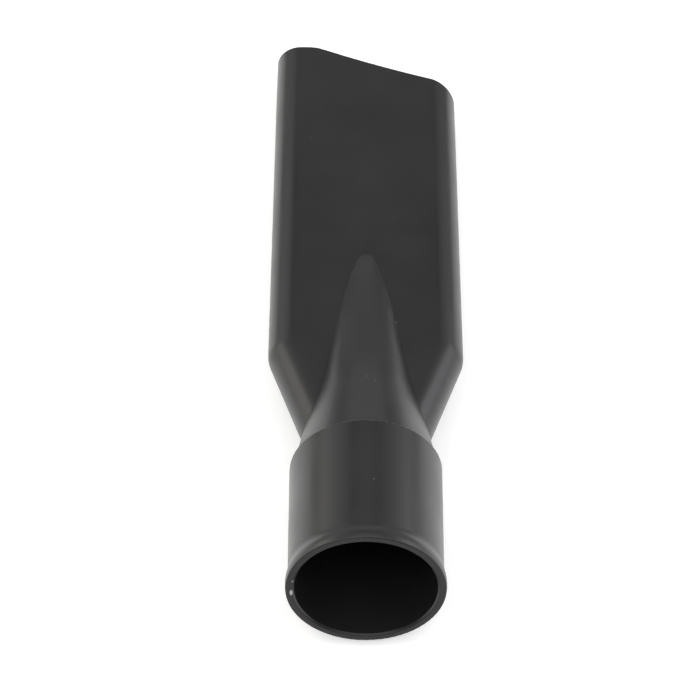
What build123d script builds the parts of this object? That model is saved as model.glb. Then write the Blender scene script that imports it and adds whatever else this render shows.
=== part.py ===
from build123d import *
from math import acos, asin, atan2, cos, degrees, radians, sin, tan
import os

# Flat suction nozzle of a vacuum cleaner, moulded in one piece of black plastic.
# A round socket takes the end of the hose. Behind it the outside steps in a little to a
# tapering cone, which runs out in a flat slot body. The mouth is cut square on the left
# and slants back to the right. It is drawn with the socket's axis on +Y and the front
# face of the socket at Y = 0, and laid on the table at the end. Sizes are in
# millimetres.

# Wall and socket
wall = 1.75
bore_diameter = 38.0
socket_length = 42.0
socket_draft = 0.2
lead_in = 0.6
back_rounding = 0.5

# Bead round the socket's front edge
bead_rise = 0.65
bead_crest = 1.5
bead_flare = 4.3
bead_front_drop = 0.18
rim_rounding = 0.3

# Cone behind the socket, steep at first and slower from the break on
cone_diameter = 39.9
cone_angle = 11.8
break_diameter = 28.9
break_blend = 150.0
crest_angle = 7.4

# Flat slot body
body_width = 55.5
body_thickness = 15.4
foot_width = 27.8
shoulder_length = 41.4
corner_margin = 2.3
parting_land = 0.2

# Mouth
overall_length = 213.7
square_width = 12.2
kink_rounding = 9.0
slant_angle = 25.2
scoop_radius = 330.0
side_rounding = 32.0
side_angle = 35.0
side_overrun = 5.0

# Sizes that follow from those
bore_radius = bore_diameter / 2
socket_front_radius = bore_radius + wall
socket_back_radius = socket_front_radius + socket_length * tan(radians(socket_draft))
bead_radius = socket_front_radius + bead_rise
bead_end = bead_crest + bead_flare
half_thickness = body_thickness / 2
half_width = body_width / 2
shoulder_end = socket_length + shoulder_length


# Half outline of the cone: its start at the socket, its break, and its end, buried in
# the flat body. An inset moves it all inwards by that much.
def cone_line(inset, end_radius):
    steep = tan(radians(cone_angle))
    slow = tan(radians(crest_angle))
    steep_shift = inset / cos(radians(cone_angle))
    slow_shift = inset / cos(radians(crest_angle))
    start_radius = cone_diameter / 2 + inset * steep - steep_shift
    break_y = socket_length + (cone_diameter - break_diameter) / 2 / steep
    inner_break_y = break_y - (steep_shift - slow_shift) / (steep - slow)
    inner_break_radius = break_diameter / 2 + (break_y - inner_break_y) * slow - slow_shift
    end_y = inner_break_y + (inner_break_radius - end_radius) / slow
    return (
        (start_radius, socket_length - inset),
        (inner_break_radius, inner_break_y),
        (end_radius, end_y),
    )


# Outside of the socket and cone, one solid turned about Y
cone_start, cone_break, cone_end = cone_line(0, half_thickness - wall / 2)
with BuildPart() as duct:
    with BuildSketch() as duct_half:
        with BuildLine():
            bead_front = (bead_radius - bead_front_drop, 0)
            bead_top = (bead_radius, bead_crest)
            flare_middle = (bead_radius - bead_rise / 2, bead_crest + bead_flare / 2)
            flare_end = (socket_front_radius, bead_end)
            socket_back = (socket_back_radius, socket_length)
            Polyline((0, cone_end[1]), (0, 0), bead_front)
            TangentArc(bead_top, bead_front, tangent=(0, -1))
            TangentArc(bead_top, flare_middle, tangent=(0, 1))
            TangentArc(flare_end, flare_middle, tangent=(0, -1))
            Polyline(flare_end, socket_back, cone_start, cone_break, cone_end)
            Line(cone_end, (0, cone_end[1]))
        make_face()
        rim_corner = duct_half.vertices().group_by(Axis.Y)[0].sort_by(Axis.X)[-1]
        fillet(rim_corner, rim_rounding)
        fillet(duct_half.vertices().sort_by_distance(socket_back)[0], back_rounding)
        fillet(duct_half.vertices().sort_by_distance(cone_break)[0], break_blend)
    revolve(axis=Axis.Y)

# Inside of the socket and cone, turned in the same way. The small step where the bore
# meets the cone is the stop for the hose.
cone_start, cone_break, cone_end = cone_line(wall, (half_thickness - wall) / 2)
with BuildPart() as bore:
    with BuildSketch() as bore_half:
        with BuildLine():
            Polyline(
                (0, cone_end[1]),
                (0, -lead_in),
                (bore_radius + 2 * lead_in, -lead_in),
                (bore_radius, lead_in),
                (bore_radius, socket_length - wall),
                cone_start,
                cone_break,
                cone_end,
                close=True,
            )
        make_face()
        fillet(bore_half.vertices().sort_by_distance(cone_break)[0], break_blend + wall)
    revolve(axis=Axis.Y)


# Flat body with its two shoulders and fully rounded sides, longer than the finished
# one. An inset makes the slot inside it, with the same wall all round.
def flat_body(inset):
    far_end = overall_length + body_thickness
    rounding = half_thickness - inset - parting_land / 2
    with BuildPart() as body:
        with BuildSketch() as plan:
            with BuildLine():
                Polyline(
                    (-foot_width / 2, socket_length),
                    (foot_width / 2, socket_length),
                    (half_width, shoulder_end),
                    (half_width, far_end),
                    (-half_width, far_end),
                    (-half_width, shoulder_end),
                    close=True,
                )
            make_face()
            fillet(plan.vertices().group_by(Axis.Y)[1], half_thickness + corner_margin)
            if inset:
                offset(amount=-inset, mode=Mode.REPLACE)
        extrude(amount=half_thickness - inset, both=True)
        for face in body.faces().filter_by(Axis.Z):
            fillet(face.edges() - face.edges().filter_by(Axis.X), rounding)
    return body.part


# All that lies beyond the mouth: square over the left end, then a shallow scoop that
# slants back and rounds off past the right side. The scoop stops at the slope from
# which the rounding reaches the side at its own angle.
kink = (square_width - half_width, overall_length)
slant = radians(slant_angle)
width_left = body_width - square_width - side_rounding * sin(radians(side_angle))
end_slope = asin((scoop_radius * sin(slant) - width_left) / (scoop_radius + side_rounding))
with BuildPart() as beyond_mouth:
    with BuildSketch() as mouth_plan:
        with BuildLine():
            scoop = JernArc(
                start=kink,
                tangent=(cos(slant), -sin(slant)),
                radius=scoop_radius,
                arc_size=slant_angle - degrees(end_slope),
            )
            side = JernArc(
                start=scoop @ 1,
                tangent=scoop % 1,
                radius=side_rounding,
                arc_size=degrees(end_slope) - side_angle - side_overrun,
            )
            far_side = overall_length + 2 * body_thickness
            Polyline(
                side @ 1,
                ((side @ 1).X, far_side),
                (-body_width, far_side),
                (-body_width, overall_length),
                kink,
            )
        make_face()
        fillet(mouth_plan.vertices().sort_by_distance(kink)[0], kink_rounding)
    extrude(amount=body_thickness, both=True)

# The moulding, with one wall thickness from the socket to the mouth
with BuildPart() as moulding:
    add(duct)
    add(flat_body(0))
    add(bore, mode=Mode.SUBTRACT)
    add(flat_body(wall), mode=Mode.SUBTRACT)
    add(beyond_mouth, mode=Mode.SUBTRACT)

# It lies on its socket and on two places of the mouth's slanted lower edge, so the
# mouth end is down and the whole leans a little to the right. The left place is on the
# rounded kink, where a line from the right one just touches it.
underside = moulding.faces().filter_by(Axis.Z).sort_by(Axis.Z)[0]
right_foot = underside.vertices().group_by(Axis.X)[-1].sort_by(Axis.Y)[-1].center()
kink_centre = Vector(
    kink[0] - kink_rounding * tan(slant / 2), overall_length - kink_rounding, -half_thickness
)
reach = right_foot - kink_centre
touch = atan2(reach.Y, reach.X) + acos(kink_rounding / reach.length)
left_foot = kink_centre + Vector(cos(touch), sin(touch)) * kink_rounding
lean = 1 / tan(touch)

# The socket touches with its back edge, or with its bead where that stands out enough
socket_feet = ((bead_radius, bead_crest), (socket_back_radius, socket_length - back_rounding))
pitch = min(
    (half_thickness - radius) / (left_foot.Y - y + lean * left_foot.X) for radius, y in socket_feet
)
table_normal = Vector(lean * pitch, pitch, 1)
table = Plane(origin=left_foot, x_dir=Vector(0, 1, 0).cross(table_normal), z_dir=table_normal)

with BuildPart() as nozzle:
    add(table.to_local_coords(moulding.part))
    # The origin is on the table, under the middle of the nozzle
    extent = nozzle.part.bounding_box()
nozzle.part = nozzle.part.moved(Location((-extent.center().X, -extent.center().Y, -extent.min.Z)))
nozzle.part.label = "nozzle"

os.makedirs("parts", exist_ok=True)
export_step(nozzle.part, "parts/nozzle.step")
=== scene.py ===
import bpy
from math import cos, radians, sin
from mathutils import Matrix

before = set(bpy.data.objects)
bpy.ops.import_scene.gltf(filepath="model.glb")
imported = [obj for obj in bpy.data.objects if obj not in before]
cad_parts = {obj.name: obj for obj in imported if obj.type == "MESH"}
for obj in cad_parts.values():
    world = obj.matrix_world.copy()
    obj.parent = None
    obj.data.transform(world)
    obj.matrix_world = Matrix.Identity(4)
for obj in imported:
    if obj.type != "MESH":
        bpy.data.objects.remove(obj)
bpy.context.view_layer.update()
scene = bpy.context.scene
print("frame loaded")


# a node material with its output, shader and Object coordinates ready to wire up
def newMaterial(name):
    material = bpy.data.materials.new(name)
    material.use_nodes = True
    tree = material.node_tree
    tree.nodes.clear()
    output = tree.nodes.new("ShaderNodeOutputMaterial")
    shader = tree.nodes.new("ShaderNodeBsdfPrincipled")
    tree.links.new(shader.outputs["BSDF"], output.inputs["Surface"])
    places = tree.nodes.new("ShaderNodeTexCoord").outputs["Object"]
    return material, tree, shader, places


# noise of a given grain size in metres
def addNoise(tree, places, size, detail, rough):
    noise = tree.nodes.new("ShaderNodeTexNoise")
    noise.inputs["Scale"].default_value = 1 / size
    noise.inputs["Detail"].default_value = detail
    noise.inputs["Roughness"].default_value = rough
    tree.links.new(places, noise.inputs["Vector"])
    return noise.outputs["Fac"]


# turns a pattern between start and end into values between low and high
def addRange(tree, value, start, end, low, high):
    remap = tree.nodes.new("ShaderNodeMapRange")
    remap.inputs["From Min"].default_value = start
    remap.inputs["From Max"].default_value = end
    remap.inputs["To Min"].default_value = low
    remap.inputs["To Max"].default_value = high
    tree.links.new(value, remap.inputs["Value"])
    return remap.outputs["Result"]


# one step of vector arithmetic with a fixed second vector
def addVectorStep(tree, value, operation, other):
    step = tree.nodes.new("ShaderNodeVectorMath")
    step.operation = operation
    step.inputs[1].default_value = other
    tree.links.new(value, step.inputs[0])
    return step.outputs


# soft round spot at a place, 1 in its middle and 0 outside its half widths in metres
def addSpot(tree, places, place, halfWidths):
    shift = addVectorStep(tree, places, "SUBTRACT", place)["Vector"]
    stretch = addVectorStep(tree, shift, "DIVIDE", halfWidths)["Vector"]
    length = tree.nodes.new("ShaderNodeVectorMath")
    length.operation = "LENGTH"
    tree.links.new(stretch, length.inputs[0])
    return addRange(tree, length.outputs["Value"], 0.5, 1, 1, 0)


# 1 on the flat face that lies across an axis, 0 a little way behind it
def addFace(tree, places, middle, axis, depth):
    shift = addVectorStep(tree, places, "SUBTRACT", middle)["Vector"]
    along = addVectorStep(tree, shift, "DOT_PRODUCT", axis)["Value"]
    return addRange(tree, along, depth / 3, depth, 1, 0)


# lays a second colour over the first where the pattern is 1
def addCoat(tree, pattern, under, over):
    mix = tree.nodes.new("ShaderNodeMix")
    mix.data_type = "RGBA"
    underColor, overColor = mix.inputs[6], mix.inputs[7]
    overColor.default_value = over
    tree.links.new(pattern, mix.inputs["Factor"])
    tree.links.new(under, underColor)
    return mix.outputs[2]


mouldedPlastic = {
    "dark": (0.0108, 0.0108, 0.0110, 1),
    "light": (0.0132, 0.0131, 0.0130, 1),
    "cloudSize": 0.035,
    "cloudDetail": 3,
    "patchSize": 0.014,
    "patchDetail": 4,
    "noiseRoughness": 0.5,
    "noiseStart": 0.3,
    "noiseEnd": 0.7,
    "smooth": 0.30,
    "dull": 0.37,
    "ior": 1.5,
    "shine": 0.5,
    "grainSize": 0.00035,
    "grainDetail": 2,
    "grainRoughness": 0.6,
    "grainHeight": 0.0000035,
    "faceMiddle": (0, -0.106012, 0.02412),
    "faceAxis": (0, 0.99685, -0.07926),
    "faceDepth": 0.0003,
    "faceRoughness": 0.55,
    "faceShine": 0.3,
    "dustSpacing": 0.007,
    "dustRadius": 0.00022,
    "dustColor": (0.16, 0.15, 0.14, 1),
    # painted highlights: two pale spots on the rim's inner edge at the left that stand for
    # the glint on a small nick there
    "nickPlace": (-0.0197, -0.1061, 0.0232),
    "nickHalfWidths": (0.0005, 0.0008, 0.0013),
    "chipPlace": (-0.0192, -0.1057, 0.0277),
    "chipHalfWidths": (0.0003, 0.0006, 0.0004),
    "paintedGlintColor": (0.45, 0.44, 0.42, 1),
}


# satin black plastic out of a steel mould: faint cloudy tone, a very fine grain, a few
# specks of dust, a duller rim face, and two painted highlights on the left of that face for
# the glint on a small nick in the rim's inner edge
def makeMouldedPlastic(s):
    material, tree, shader, places = newMaterial("satinBlackPlastic")
    clouds = addNoise(tree, places, s["cloudSize"], s["cloudDetail"], s["noiseRoughness"])
    tone = tree.nodes.new("ShaderNodeValToRGB")
    darkEnd, lightEnd = tone.color_ramp.elements
    darkEnd.position = s["noiseStart"]
    darkEnd.color = s["dark"]
    lightEnd.position = s["noiseEnd"]
    lightEnd.color = s["light"]
    tree.links.new(clouds, tone.inputs["Fac"])

    dots = tree.nodes.new("ShaderNodeTexVoronoi")
    dots.inputs["Scale"].default_value = 1 / s["dustSpacing"]
    tree.links.new(places, dots.inputs["Vector"])
    dotRadius = s["dustRadius"] / s["dustSpacing"]
    dust = addRange(tree, dots.outputs["Distance"], dotRadius / 2, dotRadius, 1, 0)
    color = addCoat(tree, dust, tone.outputs["Color"], s["dustColor"])
    # paints the glint on the nick as pale colour over the tone, as two painted highlights
    for spot in ("nick", "chip"):
        paintedGlintMask = addSpot(tree, places, s[spot + "Place"], s[spot + "HalfWidths"])
        color = addCoat(tree, paintedGlintMask, color, s["paintedGlintColor"])
    tree.links.new(color, shader.inputs["Base Color"])

    face = addFace(tree, places, s["faceMiddle"], s["faceAxis"], s["faceDepth"])
    patches = addNoise(tree, places, s["patchSize"], s["patchDetail"], s["noiseRoughness"])
    polish = addRange(tree, patches, s["noiseStart"], s["noiseEnd"], s["smooth"], s["dull"])
    matt = tree.nodes.new("ShaderNodeMix")
    matt.inputs["B"].default_value = s["faceRoughness"]
    tree.links.new(face, matt.inputs["Factor"])
    tree.links.new(polish, matt.inputs["A"])
    tree.links.new(matt.outputs["Result"], shader.inputs["Roughness"])
    shine = addRange(tree, face, 0, 1, s["shine"], s["faceShine"])
    tree.links.new(shine, shader.inputs["Specular IOR Level"])
    shader.inputs["IOR"].default_value = s["ior"]

    grain = addNoise(tree, places, s["grainSize"], s["grainDetail"], s["grainRoughness"])
    bump = tree.nodes.new("ShaderNodeBump")
    bump.inputs["Distance"].default_value = s["grainHeight"]
    tree.links.new(grain, bump.inputs["Height"])
    tree.links.new(bump.outputs["Normal"], shader.inputs["Normal"])
    return material


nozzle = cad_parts["nozzle"]
nozzle.data.materials[0] = makeMouldedPlastic(mouldedPlastic)
print("nozzle dressed")


studio = {
    "floorSize": 6.0,
    "floorColor": (0.8, 0.8, 0.8, 1),
    "glowColor": (1, 1, 1, 1),
    "floorGlow": 0.4,
    "roomColor": (0, 0, 0, 1),
    "lampDistance": 1.2,
}


# pale floor that glows a little, as on a light table, in a dark room
def makeRoom(s):
    bpy.ops.object.select_all(action="DESELECT")
    bpy.ops.mesh.primitive_plane_add(size=s["floorSize"], location=(0, 0, 0))
    floor = bpy.context.object
    floor.name = "floor"
    material, tree, shader, places = newMaterial("paleFloor")
    shader.inputs["Base Color"].default_value = s["floorColor"]
    shader.inputs["Roughness"].default_value = 1.0
    shader.inputs["Specular IOR Level"].default_value = 0.0
    shader.inputs["Emission Color"].default_value = s["glowColor"]
    shader.inputs["Emission Strength"].default_value = s["floorGlow"]
    floor.data.materials.append(material)

    world = bpy.data.worlds.new("room")
    scene.world = world
    world.use_nodes = True
    world.node_tree.nodes["Background"].inputs["Color"].default_value = s["roomColor"]


warm = (1.0, 0.98, 0.92)
cool = (0.96, 0.96, 1.0)
plain = (1.0, 1.0, 1.0)

# large round lamps. The turn is counted from behind the nozzle towards the right, and
# the rise from the floor, both in degrees. Sizes are in metres and powers in watts.
lamps = {
    "frontLeftLamp": {"turn": -140, "rise": 50, "size": 0.7, "power": 3.8, "color": plain},
    "frontRightLamp": {"turn": 140, "rise": 50, "size": 0.7, "power": 3.8, "color": plain},
    "frontLamp": {"turn": 180, "rise": 52, "size": 0.5, "power": 1.6, "color": plain},
    "leftLamp": {"turn": -72, "rise": 24, "size": 0.9, "power": 4.2, "color": warm},
    "rightLamp": {"turn": 72, "rise": 24, "size": 0.9, "power": 4.7, "color": cool},
    "highLeftLamp": {"turn": -90, "rise": 72, "size": 0.7, "power": 4, "color": warm},
    "highRightLamp": {"turn": 90, "rise": 72, "size": 0.7, "power": 4, "color": cool},
    "backLeftLamp": {"turn": -40, "rise": 28, "size": 0.8, "power": 1.4, "color": plain},
    "backRightLamp": {"turn": 40, "rise": 28, "size": 0.8, "power": 1.1, "color": plain},
    "lowBackLamp": {"turn": 0, "rise": 15, "size": 0.8, "power": 1.1, "color": plain},
    "highBackLamp": {"turn": 0, "rise": 62, "size": 0.8, "power": 1.1, "color": plain},
}


# hangs one lamp at its distance and aims it at the middle of the floor
def addLamp(name, s, distance):
    turn, rise = radians(s["turn"]), radians(s["rise"])
    flat = distance * cos(rise)
    place = (flat * sin(turn), flat * cos(turn), distance * sin(rise))
    bpy.ops.object.light_add(type="AREA", location=place)
    lamp = bpy.context.object
    lamp.name = name
    lamp.data.shape = "DISK"
    lamp.data.size = s["size"]
    lamp.data.energy = s["power"]
    lamp.data.color = s["color"]
    aim = -lamp.location
    lamp.rotation_euler = aim.to_track_quat("-Z", "Y").to_euler()


makeRoom(studio)
for name, lamp in lamps.items():
    addLamp(name, lamp, studio["lampDistance"])
print("studio ready")


cameraSet = {
    "place": (0.0029532, -0.5208223, 0.6206471),
    "turn": (39.79800, 0.59672, 0.13106),
    "lens": 141.66,
    "sensorWidth": 36,
    "nearest": 0.01,
    "farthest": 20,
}


def makeCamera(s):
    turn = [radians(angle) for angle in s["turn"]]
    bpy.ops.object.camera_add(location=s["place"], rotation=turn)
    camera = bpy.context.object
    camera.name = "camera"
    camera.data.sensor_width = s["sensorWidth"]
    camera.data.lens = s["lens"]
    camera.data.clip_start = s["nearest"]
    camera.data.clip_end = s["farthest"]
    scene.camera = camera


makeCamera(cameraSet)
scene.view_settings.view_transform = "Standard"
print("camera ready")
